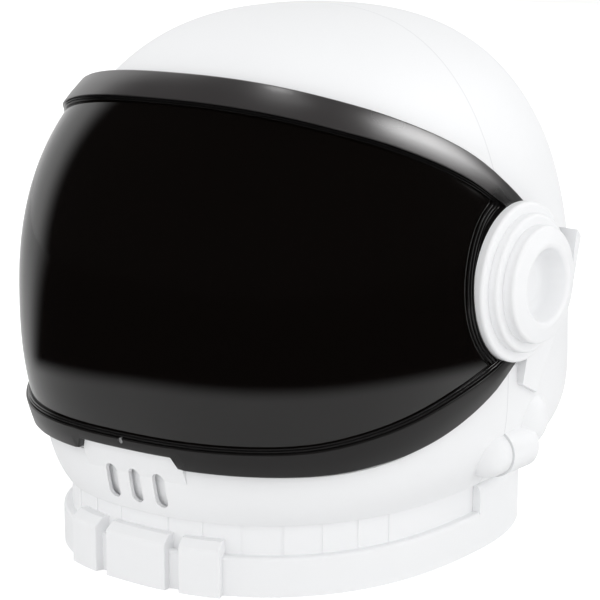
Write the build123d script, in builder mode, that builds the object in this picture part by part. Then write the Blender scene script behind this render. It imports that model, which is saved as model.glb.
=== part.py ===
from build123d import *
from math import atan2, cos, degrees, pi, radians, sin
import os

os.makedirs("parts", exist_ok=True)

# Astronaut helmet with a smoked visor that swings up on two ear knobs. +Z is up and the face looks
# towards -Y, so the wearer's left is +X. The origin is below the middle of the whole helmet, level
# with the collar's foot.

# Globe that the two shell halves make
globe_half_width = 140.0
globe_half_length = 166.0
globe_half_height = 192.0
globe_centre_y = 5.8
globe_centre_z = 121.5
globe_plan_fullness = 2.44
globe_side_fullness = 2.53
globe_level_shares = (-0.24, -0.05, 0.15, 0.34, 0.5, 0.64, 0.76, 0.85, 0.915, 0.957, 0.982, 0.9945, 0.9992)
shell_wall = 2.5
seam_y = 7.4
overrun = 20.0
oval_point_count = 32

# Collar: a belt under a panelled tier in front, one smooth band behind
collar_centre_y = -9.2
collar_height = 40.0
collar_half_width = 123.0
collar_half_length = 144.5
collar_fullness = 2.35
collar_wall = 3.0
belt_height = 22.5
belt_edge_radius = 1.8
tier_inset = 5.0
band_shoulder_radius = 7.0
panel_first_angle = 7.1
panel_pitch_angle = 9.05
panel_count = 7
panel_groove_width = 1.6
panel_groove_depth = 0.4
buckle_stand = 5.0
buckle_height = 31.0
buckle_chamfer_height = 4.4
buckle_edge_radius = 0.9
buckle_round_reach = 100.0
centre_buckle_half_angle = 8.35
side_buckle_start_angle = 11.7
side_buckle_end_angle = 21.2

# Neck of the shell, where the globe draws in to meet the collar
neck_rim_inset = 1.5
neck_rim_y = -7.0
neck_swell_rise = 16.0
neck_swell_width = 10.5
neck_swell_length = 12.5
neck_swell_set_back = 7.5
neck_hole_inset = 15.0
neck_flange = 2.5

# Visor bulb: the lens follows it and the frame stands proud of it
lens_half_width = 145.4
lens_half_length = 167.5
lens_half_height = 168.2
lens_centre_y = -4.0
lens_centre_z = 145.5
lens_plan_fullness = 2.5
lens_side_fullness = 2.33
lens_level_shares = (-0.66, -0.52, -0.4, -0.25, -0.1, 0.1, 0.25, 0.4, 0.52, 0.64, 0.76, 0.88)
lens_wall = 2.2
lens_clearance = 0.15
frame_stand = 3.4
frame_rim = 2.5

# Side view of the visor, measured from the pivot
pivot_y = 7.4
pivot_z = 163.0
visor_front_reach = 216.0
brow_front_rise = 144.1
brow_middle_reach = 57.2
brow_middle_rise = 84.2
brow_rear_reach = 12.4
brow_rear_rise = 43.7
chin_drop = 90.5
chin_bend_reach = 136.6
chin_rear_reach = 4.6
chin_rear_drop = 45.2
window_front_rise = 127.0
window_middle_reach = 92.0
window_middle_rise = 80.0
window_brow_reach = 6.0
window_brow_rise = 36.0
window_chin_drop = 75.0
window_bend_reach = 118.6
window_chin_reach = 6.0
window_chin_rise = 38.0
notch_half_width = 33.0
notch_slant = 3.5
notch_height = 7.0
seat_margin = 2.0
seat_clearance = 0.9
tab_clearance = 0.5
tab_foot_z = 60.0
tab_top_z = 80.0

# Eyes of the frame and what they turn on
eye_radius = 45.4
eye_inner_face = 139.9
eye_face = 144.5
eye_ring_radius = 50.0
eye_ring_stand = 1.2
eye_ring_gap = 0.4
eye_clear_radius = 45.6
knob_pocket_radius = 46.2
ear_pad_radius = 42.0
ear_pad_face = 139.3
ear_pad_depth = 9.0
ear_flat_radius = 51.0
ear_boss_radius = 14.0
ear_boss_face = 130.6
bush_radius = 8.5
bush_flange_radius = 12.0
bush_flange = 1.2
bush_seat_clearance = 0.05
post_radius = 6.0
running_clearance = 0.05
post_hole_clearance = 0.1
side_clearance = 0.1
friction_washer_thickness = 0.5
friction_washer_inner_radius = 12.0
friction_washer_outer_radius = 32.0
retainer_thickness = 1.2
retainer_radius = 11.0
retainer_hole_clearance = 0.1
pivot_screw_radius = 2.5
pivot_screw_depth = 13.0
pivot_screw_head_radius = 5.0
pivot_screw_head = 3.0
thread_clearance = 0.05

# Ear knobs: three stepped rings round a bowl
knob_radius = 45.7
knob_middle_radius = 39.4
knob_top_radius = 33.4
knob_base_height = 5.8
knob_middle_height = 5.6
knob_top_height = 6.4
knob_edge_radius = 2.2
knob_wall = 2.6
knob_hub_radius = 12.0
bowl_lip_rise = 3.6
bowl_mouth_radius = 21.7
bowl_floor_radius = 16.5
bowl_depth = 15.0
bowl_lip_radius = 3.0
bowl_floor_edge_radius = 6.0

# Screw in the middle of the chin band
chin_screw_drop = 78.5
chin_screw_head_radius = 1.7
chin_screw_head = 1.2
chin_screw_radius = 0.95
chin_screw_clearance = 0.1
chin_screw_sunk = 0.8
chin_screw_length = 3.4

# Face opening of the front shell in side view, measured from the pivot
face_front_reach = 236.0
face_front_rise = 155.7
face_rear_reach = 52.6
face_rear_rise = 66.3
face_rear_drop = 66.0
face_bend_reach = 96.6
face_chin_drop = 81.0
face_rear_radius = 32.0
face_chin_radius = 40.0

# Chin vents and the baffle behind them
vent_spacing = 17.3
vent_width = 8.5
vent_length = 20.5
vent_centre_z = 56.0
chin_inner_y = -129.2
baffle_width = 56.0
baffle_height = 26.0
baffle_depth = 5.0
baffle_wall = 2.0
baffle_corner_radius = 1.5
baffle_clearance = 0.1

# Rear ear fairings in side view, measured from the pivot
fairing_face = 152.5
fairing_lean_angle = 8.8
fairing_root = 125.0
fairing_stock = 165.0
fairing_clear_radius = 46.4
fairing_front_reach = 10.0
fairing_shelf_rise = 13.0
fairing_swing_reach = 44.5
fairing_top_rise = 25.0
fairing_shoulder_reach = 54.0
fairing_shoulder_rise = 17.0
fairing_tail_reach = 70.0
fairing_tail_rise = 4.0
fairing_tail_drop = 20.0
fairing_heel_reach = 36.0
fairing_heel_drop = 74.0
fairing_foot_drop = 62.0
fairing_ridge_radius = 3.0
fairing_ridge_reach = 50.5
fairing_ridge_drop = 6.0
fairing_rear_normal = (0.72, 0.63, -0.11)
fairing_low_normal = (0.74, 0.59, -0.32)

# Jaw ports
port_axis_x = 131.0
port_axis_z = 60.5
port_radius = 13.2
port_nose_y = 0.2
port_barrel_radius = 14.4
port_rear_y = 34.8
port_wall = 2.6
port_bulb_x = 125.0
port_bulb_y = 40.8
port_bulb_z = 74.0
port_bulb_radius = 19.5

# Screws along the seam, placed in front view
seam_screw_places = ((70.0, 291.0), (115.5, 236.0), (131.8, 92.0))
seam_boss_radius = 6.0
seam_boss_length = 12.0
seam_screw_radius = 1.9
seam_screw_head_radius = 3.6
seam_screw_head = 2.4
seam_screw_length = 21.0
screw_hole_clearance = 0.2

# Screws that hold the shell down to the collar, as angles from the front
collar_screw_angles = (24.0, 72.0, 126.0, 160.0)
collar_screw_inset = 11.3
collar_boss_radius = 3.7
collar_boss_height = 11.0
collar_screw_radius = 1.6
collar_screw_head_radius = 3.1
collar_screw_head = 2.2
collar_screw_length = 11.5

# Rubber buttons that the chin band closes on
stop_x = 52.0
stop_z = 76.5
stop_radius = 3.5
stop_clearance = 0.35

# Foam pads inside the shell
pad_clearance = 0.3
pad_thickness = 22.0
crown_pad_half_width = 56.0
crown_pad_half_length = 74.0
crown_pad_low_z = 200.0
rear_pad_half_width = 56.0
rear_pad_front_y = 80.8
rear_pad_low_z = 92.0
rear_pad_high_z = 190.0
side_pad_front_y = 32.8
side_pad_rear_y = 100.8
side_pad_low_z = 102.0
side_pad_high_z = 186.0
side_pad_inner_x = 60.0
pad_corner_radius = 18.0

side_reach = lens_half_width + overrun
crown_z = globe_centre_z + globe_half_height


def signed_power(value, exponent):
    return abs(value) ** exponent if value >= 0 else -(abs(value) ** exponent)


def reach_share(level_share, fullness):
    return (1 - abs(level_share) ** fullness) ** (1 / fullness)


# Full oval face, level with the floor, as wide and long as its two half sizes say
def oval(level, half_width, half_length, centre_y, fullness):
    points = []
    for step in range(oval_point_count):
        turn = 2 * pi * step / oval_point_count
        across = half_width * signed_power(sin(turn), 2 / fullness)
        ahead = half_length * signed_power(cos(turn), 2 / fullness)
        points.append((across, centre_y - ahead))
    with BuildSketch(Plane.XY.offset(level)) as outline:
        with BuildLine():
            Spline(*points, periodic=True)
        make_face()
    return outline.sketch


# Level sections of the helmet's form from the neck to the crown, drawn in by an inset
def shell_sections(inset, floor):
    rim_width = collar_half_width - neck_rim_inset - inset
    rim_length = collar_half_length - neck_rim_inset / 2 - inset
    rim_level = collar_height + floor
    swell_level = collar_height + neck_swell_rise
    swell_width = rim_width + neck_swell_width
    swell_length = rim_length + neck_swell_length
    swell_y = neck_rim_y + neck_swell_set_back
    sections = [
        oval(rim_level, rim_width, rim_length, neck_rim_y, collar_fullness),
        oval(swell_level, swell_width, swell_length, swell_y, globe_plan_fullness),
    ]
    for share in globe_level_shares:
        reach = reach_share(share, globe_side_fullness)
        level = globe_centre_z + (globe_half_height - inset) * share
        width = (globe_half_width - inset) * reach
        length = (globe_half_length - inset) * reach
        sections.append(oval(level, width, length, globe_centre_y, globe_plan_fullness))
    return sections


# Level sections of the visor's bulb, drawn in by an inset
def lens_sections(inset):
    sections = []
    for share in lens_level_shares:
        reach = reach_share(share, lens_side_fullness)
        level = lens_centre_z + (lens_half_height - inset) * share
        width = (lens_half_width - inset) * reach
        length = (lens_half_length - inset) * reach
        sections.append(oval(level, width, length, lens_centre_y, lens_plan_fullness))
    return sections


# Plan of the collar, drawn in by an inset
def collar_oval(level, inset):
    half_width = collar_half_width - inset
    half_length = collar_half_length - inset
    return oval(level, half_width, half_length, collar_centre_y, collar_fullness)


# Point on the collar's plan at an angle from the front, and the way its wall faces there
def collar_place(angle, inset):
    half_width = collar_half_width - inset
    half_length = collar_half_length - inset
    across = abs(sin(radians(angle))) / half_width
    ahead = abs(cos(radians(angle))) / half_length
    radius = (across**collar_fullness + ahead**collar_fullness) ** (-1 / collar_fullness)
    x = radius * sin(radians(angle))
    y = -radius * cos(radians(angle))
    slope_x = signed_power(x / half_width, collar_fullness - 1) / half_width
    slope_y = signed_power(y / half_length, collar_fullness - 1) / half_length
    return x, collar_centre_y + y, degrees(atan2(slope_x, -slope_y))


# Side view point given from the pivot, with reach counted towards the rear
def at_pivot(reach, rise):
    return (pivot_y + reach, pivot_z + rise)


# Disc on the pivot axis, at a distance from the middle of the helmet
def pivot_disc(distance, radius):
    with BuildSketch(Plane.YZ.offset(distance)) as disc:
        with Locations((pivot_y, pivot_z)):
            Circle(radius)
    return disc.sketch


# Round sketch that faces forward, placed in front view
def front_disc(y, x, z, radius):
    with BuildSketch(Plane.XZ.offset(-y)) as disc:
        with Locations((x, z)):
            Circle(radius)
    return disc.sketch


# Round sketches level with the floor, one for each collar screw on both sides
def collar_screw_discs(level, radius):
    with BuildSketch(Plane.XY.offset(level)) as discs:
        for angle in collar_screw_angles:
            for side in (-1, 1):
                x, y, facing = collar_place(side * angle, collar_screw_inset)
                with Locations((x, y)):
                    Circle(radius)
    return discs.sketch


# Round sketches that face forward, one for each seam screw on both sides
def seam_screw_discs(y, radius):
    with BuildSketch(Plane.XZ.offset(-y)) as discs:
        for x, z in seam_screw_places:
            with Locations((x, z), (-x, z)):
                Circle(radius)
    return discs.sketch


# Side view of the whole visor: brow, eye, chin, and the front that the bulb closes
with BuildSketch(Plane.YZ) as visor_outline:
    with BuildLine():
        brow_front = at_pivot(-visor_front_reach, brow_front_rise)
        brow_rear = at_pivot(brow_rear_reach, brow_rear_rise)
        chin_rear = at_pivot(-chin_rear_reach, -chin_rear_drop)
        chin_bend = at_pivot(-chin_bend_reach, -chin_drop)
        chin_front = at_pivot(-visor_front_reach, -chin_drop)
        ThreePointArc(brow_front, at_pivot(-brow_middle_reach, brow_middle_rise), brow_rear)
        ThreePointArc(brow_rear, at_pivot(eye_radius, 0), chin_rear)
        TangentArc(chin_bend, chin_rear, tangent=(1, 0))
        Line(chin_bend, chin_front)
        Line(chin_front, brow_front)
    make_face()

# Side view of the window, from the pivot forward
with BuildSketch(Plane.YZ) as window_outline:
    with BuildLine():
        window_high = at_pivot(-visor_front_reach, window_front_rise)
        window_brow = at_pivot(-window_brow_reach, window_brow_rise)
        window_chin = at_pivot(-window_chin_reach, -window_chin_rise)
        window_bend = at_pivot(-window_bend_reach, -window_chin_drop)
        window_low = at_pivot(-visor_front_reach, -window_chin_drop)
        ThreePointArc(window_high, at_pivot(-window_middle_reach, window_middle_rise), window_brow)
        Line(window_brow, window_chin)
        TangentArc(window_bend, window_chin, tangent=(1, 0))
        Line(window_bend, window_low)
        Line(window_low, window_high)
    make_face()

with BuildSketch(Plane.YZ) as band_outline:
    add(visor_outline.sketch_local)
    add(window_outline.sketch_local, mode=Mode.SUBTRACT)

with BuildSketch(Plane.YZ) as eye_outline:
    with Locations(at_pivot(0, 0)):
        Circle(eye_ring_radius)
    add(visor_outline.sketch_local, mode=Mode.INTERSECT)

with BuildSketch(Plane.YZ) as pocket_outline:
    add(visor_outline.sketch_local)
    offset(amount=-frame_rim, mode=Mode.REPLACE)
    with Locations(at_pivot(0, 0)):
        Circle(eye_ring_radius, mode=Mode.SUBTRACT)

with BuildSketch(Plane.YZ) as lens_outline:
    add(visor_outline.sketch_local)
    offset(amount=-frame_rim - lens_clearance, mode=Mode.REPLACE)
    with Locations(at_pivot(0, 0)):
        Circle(eye_ring_radius + eye_ring_gap, mode=Mode.SUBTRACT)

# Notch in the lower edge of the chin band, in front view, grown by a margin
def notch_outline(margin):
    foot_z = pivot_z - chin_drop
    with BuildSketch(Plane.XZ) as notch:
        with BuildLine():
            Polyline(
                (-notch_half_width - notch_slant - margin, foot_z - overrun),
                (-notch_half_width - notch_slant - margin, foot_z),
                (-notch_half_width - margin, foot_z + notch_height + margin),
                (notch_half_width + margin, foot_z + notch_height + margin),
                (notch_half_width + notch_slant + margin, foot_z),
                (notch_half_width + notch_slant + margin, foot_z - overrun),
                close=True,
            )
        make_face()
    return notch.sketch


# Side view of the seat that the chin band closes into, clear of the eyes
with BuildSketch(Plane.YZ) as seat_outline:
    add(visor_outline.sketch_local)
    offset(amount=seat_margin, mode=Mode.REPLACE)
    with Locations(at_pivot(0, 0)):
        Circle(ear_flat_radius, mode=Mode.SUBTRACT)
    with Locations(at_pivot(-visor_front_reach, 0)):
        Rectangle(4 * visor_front_reach, visor_front_reach, align=(Align.CENTER, Align.MIN), mode=Mode.SUBTRACT)

# Face opening of the front shell in side view
with BuildSketch(Plane.YZ) as face_outline:
    with BuildLine():
        Polyline(
            at_pivot(-face_front_reach, face_front_rise),
            at_pivot(-face_rear_reach, face_rear_rise),
            at_pivot(-face_rear_reach, -face_rear_drop),
            at_pivot(-face_bend_reach, -face_chin_drop),
            at_pivot(-face_front_reach, -face_chin_drop),
            close=True,
        )
    make_face()
    rear_corners = face_outline.vertices().group_by(Axis.X)[-1]
    fillet(rear_corners, radius=face_rear_radius)
    chin_corner = face_outline.vertices().group_by(Axis.Y)[0].sort_by(Axis.X)[-1]
    fillet(chin_corner, radius=face_chin_radius)

# Fairing behind the left ear
with BuildPart() as fairing:
    with BuildSketch(Plane.YZ.offset(fairing_root)):
        with BuildLine():
            Polyline(
                at_pivot(fairing_front_reach, fairing_shelf_rise),
                at_pivot(fairing_swing_reach, fairing_shelf_rise),
                at_pivot(fairing_swing_reach, fairing_top_rise),
                at_pivot(fairing_shoulder_reach, fairing_shoulder_rise),
                at_pivot(fairing_tail_reach, fairing_tail_rise),
                at_pivot(fairing_tail_reach, -fairing_tail_drop),
                at_pivot(fairing_heel_reach, -fairing_heel_drop),
                at_pivot(fairing_front_reach, -fairing_foot_drop),
                close=True,
            )
        make_face()
    extrude(amount=fairing_stock - fairing_root)
    lean = radians(fairing_lean_angle)
    ridge_y, ridge_z = at_pivot(fairing_ridge_reach, -fairing_ridge_drop)
    ridge_place = (fairing_face, ridge_y, ridge_z)
    split(bisect_by=Plane(origin=ridge_place, z_dir=(cos(lean), 0, -sin(lean))), keep=Keep.BOTTOM)
    split(bisect_by=Plane(origin=ridge_place, z_dir=fairing_rear_normal), keep=Keep.BOTTOM)
    split(bisect_by=Plane(origin=ridge_place, z_dir=fairing_low_normal), keep=Keep.BOTTOM)
    face_edges = fairing.faces().sort_by(Axis.X)[-1].edges()
    lower_edges = face_edges.filter_by(lambda edge: edge.center().Z < pivot_z + fairing_shelf_rise)
    ridge_edges = lower_edges.filter_by(lambda edge: edge.center().Y > pivot_y + fairing_clear_radius / 2)
    fillet(ridge_edges, radius=fairing_ridge_radius)
    fairing_clear = pivot_disc(fairing_root, fairing_clear_radius)
    extrude(fairing_clear, amount=fairing_stock - fairing_root, mode=Mode.SUBTRACT)

# Port at the left of the jaw: a round nose, a fuller barrel behind the seam, and a bulb
with BuildPart() as port:
    extrude(front_disc(port_nose_y, port_axis_x, port_axis_z, port_radius), amount=port_nose_y - port_rear_y)
    extrude(front_disc(seam_y, port_axis_x, port_axis_z, port_barrel_radius), amount=seam_y - port_rear_y)
    with Locations((port_axis_x, port_nose_y, port_axis_z)):
        Sphere(port_radius)
    with Locations((port_bulb_x, port_bulb_y, port_bulb_z)):
        Sphere(port_bulb_radius)

with BuildPart() as port_hollow:
    hollow_disc = front_disc(port_nose_y, port_axis_x, port_axis_z, port_radius - port_wall)
    extrude(hollow_disc, amount=port_nose_y - port_rear_y)
    with Locations((port_axis_x, port_nose_y, port_axis_z)):
        Sphere(port_radius - port_wall)
    with Locations((port_bulb_x, port_bulb_y, port_bulb_z)):
        Sphere(port_bulb_radius - port_wall)

# Inner form of the shell
with BuildPart() as head_space:
    loft(shell_sections(shell_wall, neck_flange))

# Whole shell before the seam parts it
with BuildPart() as shell:
    loft(shell_sections(0, 0))
    extrude(pivot_disc(ear_pad_face - ear_pad_depth, ear_pad_radius), amount=ear_pad_depth)
    extrude(pivot_disc(ear_pad_depth - ear_pad_face, ear_pad_radius), amount=-ear_pad_depth)
    extrude(pivot_disc(ear_pad_face, ear_flat_radius), amount=overrun, mode=Mode.SUBTRACT)
    extrude(pivot_disc(-ear_pad_face, ear_flat_radius), amount=-overrun, mode=Mode.SUBTRACT)
    add(fairing.part)
    add(port.part)
    add(fairing.part.mirror(Plane.YZ))
    add(port.part.mirror(Plane.YZ))
    add(head_space.part, mode=Mode.SUBTRACT)
    add(port_hollow.part, mode=Mode.SUBTRACT)
    add(port_hollow.part.mirror(Plane.YZ), mode=Mode.SUBTRACT)
    neck_hole = collar_oval(collar_height, neck_hole_inset)
    extrude(neck_hole, amount=neck_flange, mode=Mode.SUBTRACT)
    ear_boss_depth = ear_pad_face - ear_boss_face
    extrude(pivot_disc(ear_boss_face, ear_boss_radius), amount=ear_boss_depth)
    extrude(pivot_disc(-ear_boss_face, ear_boss_radius), amount=-ear_boss_depth)
    bush_hole_radius = bush_radius + bush_seat_clearance
    extrude(pivot_disc(-ear_pad_face, bush_hole_radius), amount=ear_pad_face + ear_pad_face, mode=Mode.SUBTRACT)
    extrude(seam_screw_discs(seam_y - seam_boss_length, seam_boss_radius), amount=-2 * seam_boss_length)
    extrude(collar_screw_discs(collar_height, collar_boss_radius), amount=collar_boss_height)
    collar_hole_radius = collar_screw_radius + thread_clearance
    extrude(collar_screw_discs(collar_height, collar_hole_radius), amount=collar_screw_length, mode=Mode.SUBTRACT)

# What the chin seat takes off the shell
with BuildPart() as chin_seat:
    extrude(seat_outline.sketch, amount=side_reach, both=True)
    loft(lens_sections(lens_wall + seat_clearance), mode=Mode.SUBTRACT)

# Tab on the chin that fills the notch in the chin band
with BuildPart() as chin_tab:
    loft(lens_sections(0))
    extrude(notch_outline(-tab_clearance), amount=side_reach + overrun, mode=Mode.INTERSECT)
    with BuildSketch(Plane.XY.offset(tab_foot_z)):
        with Locations((0, chin_inner_y)):
            Rectangle(side_reach, side_reach, align=(Align.CENTER, Align.MAX))
    extrude(amount=tab_top_z - tab_foot_z, mode=Mode.INTERSECT)
    add(head_space.part, mode=Mode.SUBTRACT)

# Front half: face opening, three chin vents, the tab in the visor's notch, the noses of the jaw ports
with BuildPart() as front_shell:
    add(shell.part)
    split(bisect_by=Plane.XZ.offset(-seam_y), keep=Keep.TOP)
    extrude(face_outline.sketch, amount=side_reach, both=True, mode=Mode.SUBTRACT)
    add(chin_seat.part, mode=Mode.SUBTRACT)
    add(chin_tab.part)
    with BuildSketch(Plane.XZ.offset(-chin_inner_y)):
        with Locations((0, vent_centre_z)):
            with GridLocations(vent_spacing, 0, 3, 1):
                SlotOverall(vent_length, vent_width, rotation=90)
    extrude(amount=overrun + overrun, mode=Mode.SUBTRACT)
    pilot_depth = seam_screw_length - seam_boss_length
    pilot = seam_screw_discs(seam_y, seam_screw_radius + thread_clearance)
    extrude(pilot, amount=pilot_depth, mode=Mode.SUBTRACT)
front_shell.part.label = "front_shell"
export_step(front_shell.part, "parts/front_shell.step")

# Rear half: smooth crown and nape, ear fairings and the bulbs of the jaw ports
with BuildPart() as rear_shell:
    add(shell.part)
    split(bisect_by=Plane.XZ.offset(-seam_y), keep=Keep.BOTTOM)
    passage = seam_screw_discs(seam_y, seam_screw_radius + screw_hole_clearance)
    extrude(passage, amount=-seam_boss_length, mode=Mode.SUBTRACT)
rear_shell.part.label = "rear_shell"
export_step(rear_shell.part, "parts/rear_shell.step")

# Screws that draw the two halves together
with BuildPart() as shell_screws:
    head_y = seam_y + seam_boss_length
    extrude(seam_screw_discs(head_y, seam_screw_radius), amount=seam_screw_length)
    extrude(seam_screw_discs(head_y, seam_screw_head_radius), amount=-seam_screw_head)
shell_screws.part.label = "shell_screws"
export_step(shell_screws.part, "parts/shell_screws.step")

# Air gap between the chin and the baffle's floor, open at the top
with BuildPart() as air_gap:
    loft(shell_sections(shell_wall, neck_flange))
    with BuildSketch(Plane.XZ.offset(-chin_inner_y)):
        with Locations((0, vent_centre_z - baffle_height / 2 + baffle_wall)):
            Rectangle(baffle_width - 2 * baffle_wall, baffle_height, align=(Align.CENTER, Align.MIN))
    extrude(amount=overrun + overrun, mode=Mode.INTERSECT)
    loft(shell_sections(shell_wall + baffle_depth - baffle_wall, neck_flange), mode=Mode.SUBTRACT)

# Baffle behind the chin vents: a shallow tray that lets the air out at the top
with BuildPart() as vent_baffle:
    loft(shell_sections(shell_wall + baffle_clearance, neck_flange))
    with BuildSketch(Plane.XZ.offset(-chin_inner_y)):
        with Locations((0, vent_centre_z)):
            RectangleRounded(baffle_width, baffle_height, baffle_corner_radius)
    extrude(amount=overrun + overrun, mode=Mode.INTERSECT)
    loft(shell_sections(shell_wall + baffle_clearance + baffle_depth, neck_flange), mode=Mode.SUBTRACT)
    add(air_gap.part, mode=Mode.SUBTRACT)
vent_baffle.part.label = "vent_baffle"
export_step(vent_baffle.part, "parts/vent_baffle.step")

# Blocks at the front of the belt: one in the middle, one to each side
with BuildPart() as buckles:
    shoulder_level = buckle_height - buckle_chamfer_height
    extrude(collar_oval(0, -buckle_stand), amount=shoulder_level)
    loft([collar_oval(shoulder_level, -buckle_stand), collar_oval(buckle_height, 0)])
    with BuildSketch():
        far = collar_half_length + collar_half_length
        wedges = (
            (-centre_buckle_half_angle, centre_buckle_half_angle),
            (side_buckle_start_angle, side_buckle_end_angle),
            (-side_buckle_end_angle, -side_buckle_start_angle),
        )
        for start, end in wedges:
            with BuildLine():
                start_point = (far * sin(radians(start)), collar_centre_y - far * cos(radians(start)))
                end_point = (far * sin(radians(end)), collar_centre_y - far * cos(radians(end)))
                Polyline((0, collar_centre_y), start_point, end_point, close=True)
            make_face()
    extrude(amount=buckle_height, mode=Mode.INTERSECT)
    outer_edges = buckles.edges().filter_by(
        lambda edge: edge.center().Z > buckle_edge_radius and edge.center().Y < collar_centre_y - buckle_round_reach
    )
    fillet(outer_edges, radius=buckle_edge_radius)

# Front half of the collar
with BuildPart() as collar_front:
    extrude(collar_oval(0, 0), amount=belt_height)
    fillet(collar_front.faces().sort_by(Axis.Z)[-1].edges(), radius=belt_edge_radius)
    extrude(collar_oval(0, tier_inset), amount=collar_height)
    for side in (-1, 1):
        for count in range(panel_count):
            x, y, facing = collar_place(side * (panel_first_angle + panel_pitch_angle * count), tier_inset)
            with Locations(Location((x, y, belt_height), (0, 0, facing))):
                Box(
                    panel_groove_width,
                    panel_groove_depth + panel_groove_depth,
                    collar_height,
                    align=(Align.CENTER, Align.CENTER, Align.MIN),
                    mode=Mode.SUBTRACT,
                )
    add(buckles.part)
    extrude(collar_oval(0, collar_wall), amount=belt_height - collar_wall, mode=Mode.SUBTRACT)
    extrude(collar_oval(0, tier_inset + collar_wall), amount=collar_height - collar_wall, mode=Mode.SUBTRACT)
    extrude(collar_oval(0, neck_hole_inset), amount=collar_height, mode=Mode.SUBTRACT)
    split(bisect_by=Plane.XZ.offset(-seam_y), keep=Keep.TOP)
    collar_passage = collar_screw_discs(0, collar_screw_radius + screw_hole_clearance)
    extrude(collar_passage, amount=collar_height, mode=Mode.SUBTRACT)
collar_front.part.label = "collar_front"
export_step(collar_front.part, "parts/collar_front.step")

# Rear half of the collar: one smooth band with a round shoulder
with BuildPart() as collar_rear:
    extrude(collar_oval(0, 0), amount=collar_height)
    fillet(collar_rear.faces().sort_by(Axis.Z)[-1].edges(), radius=band_shoulder_radius)
    extrude(collar_oval(0, tier_inset + collar_wall), amount=collar_height - collar_wall, mode=Mode.SUBTRACT)
    extrude(collar_oval(0, collar_wall), amount=belt_height, mode=Mode.SUBTRACT)
    extrude(collar_oval(0, neck_hole_inset), amount=collar_height, mode=Mode.SUBTRACT)
    split(bisect_by=Plane.XZ.offset(-seam_y), keep=Keep.BOTTOM)
    collar_passage = collar_screw_discs(0, collar_screw_radius + screw_hole_clearance)
    extrude(collar_passage, amount=collar_height, mode=Mode.SUBTRACT)
collar_rear.part.label = "collar_rear"
export_step(collar_rear.part, "parts/collar_rear.step")

# Screws from under the collar's top into the shell
with BuildPart() as collar_screws:
    seat_level = collar_height - collar_wall
    extrude(collar_screw_discs(seat_level, collar_screw_radius), amount=collar_screw_length)
    extrude(collar_screw_discs(seat_level, collar_screw_head_radius), amount=-collar_screw_head)
collar_screws.part.label = "collar_screws"
export_step(collar_screws.part, "parts/collar_screws.step")

# Frame of the visor: brow band and chin band that meet in the two eyes
chin_hole_z = pivot_z - chin_screw_drop
chin_share = (chin_hole_z - lens_centre_z) / lens_half_height
chin_face_y = lens_centre_y - lens_half_length * reach_share(chin_share, lens_side_fullness)
with BuildPart() as eye_rings:
    loft(lens_sections(-eye_ring_stand))
    extrude(eye_outline.sketch, amount=side_reach, both=True, mode=Mode.INTERSECT)

with BuildPart() as lens_pocket:
    loft(lens_sections(-lens_clearance))
    extrude(pocket_outline.sketch, amount=side_reach, both=True, mode=Mode.INTERSECT)
    extrude(notch_outline(frame_rim), amount=side_reach + overrun, mode=Mode.SUBTRACT)

with BuildPart() as visor_frame:
    loft(lens_sections(-frame_stand))
    extrude(band_outline.sketch, amount=side_reach, both=True, mode=Mode.INTERSECT)
    add(eye_rings.part)
    loft(lens_sections(lens_wall), mode=Mode.SUBTRACT)
    extrude(pivot_disc(-eye_inner_face, eye_clear_radius), amount=2 * eye_inner_face, mode=Mode.SUBTRACT)
    with BuildSketch(Plane.YZ.offset(eye_inner_face)) as eye_disc:
        add(eye_outline.sketch_local)
    extrude(eye_disc.sketch, amount=eye_face - eye_inner_face)
    with BuildSketch(Plane.YZ.offset(-eye_face)) as far_eye_disc:
        add(eye_outline.sketch_local)
    extrude(far_eye_disc.sketch, amount=eye_face - eye_inner_face)
    extrude(pivot_disc(eye_face, knob_pocket_radius), amount=overrun, mode=Mode.SUBTRACT)
    extrude(pivot_disc(-eye_face, knob_pocket_radius), amount=-overrun, mode=Mode.SUBTRACT)
    post_hole = pivot_disc(-side_reach, post_radius + post_hole_clearance)
    extrude(post_hole, amount=side_reach + side_reach, mode=Mode.SUBTRACT)
    add(lens_pocket.part, mode=Mode.SUBTRACT)
    extrude(notch_outline(0), amount=side_reach + overrun, mode=Mode.SUBTRACT)
    screw_seat_y = chin_face_y - frame_stand + chin_screw_sunk + chin_screw_head
    screw_seat = front_disc(screw_seat_y, 0, chin_hole_z, chin_screw_head_radius + chin_screw_clearance)
    extrude(screw_seat, amount=overrun, mode=Mode.SUBTRACT)
    screw_hole = front_disc(screw_seat_y + overrun, 0, chin_hole_z, chin_screw_radius + chin_screw_clearance)
    extrude(screw_hole, amount=overrun + overrun, mode=Mode.SUBTRACT)
visor_frame.part.label = "visor_frame"
export_step(visor_frame.part, "parts/visor_frame.step")

# Smoked lens, held in the frame's pocket
with BuildPart() as visor_lens:
    loft(lens_sections(0))
    loft(lens_sections(lens_wall), mode=Mode.SUBTRACT)
    extrude(lens_outline.sketch, amount=side_reach, both=True, mode=Mode.INTERSECT)
    extrude(notch_outline(frame_rim + lens_clearance), amount=side_reach + overrun, mode=Mode.SUBTRACT)
    extrude(screw_hole, amount=overrun + overrun, mode=Mode.SUBTRACT)
visor_lens.part.label = "visor_lens"
export_step(visor_lens.part, "parts/visor_lens.step")

with BuildPart() as chin_screw:
    extrude(front_disc(screw_seat_y, 0, chin_hole_z, chin_screw_head_radius), amount=chin_screw_head)
    extrude(front_disc(screw_seat_y, 0, chin_hole_z, chin_screw_radius), amount=-chin_screw_length)
chin_screw.part.label = "chin_screw"
export_step(chin_screw.part, "parts/chin_screw.step")

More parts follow.
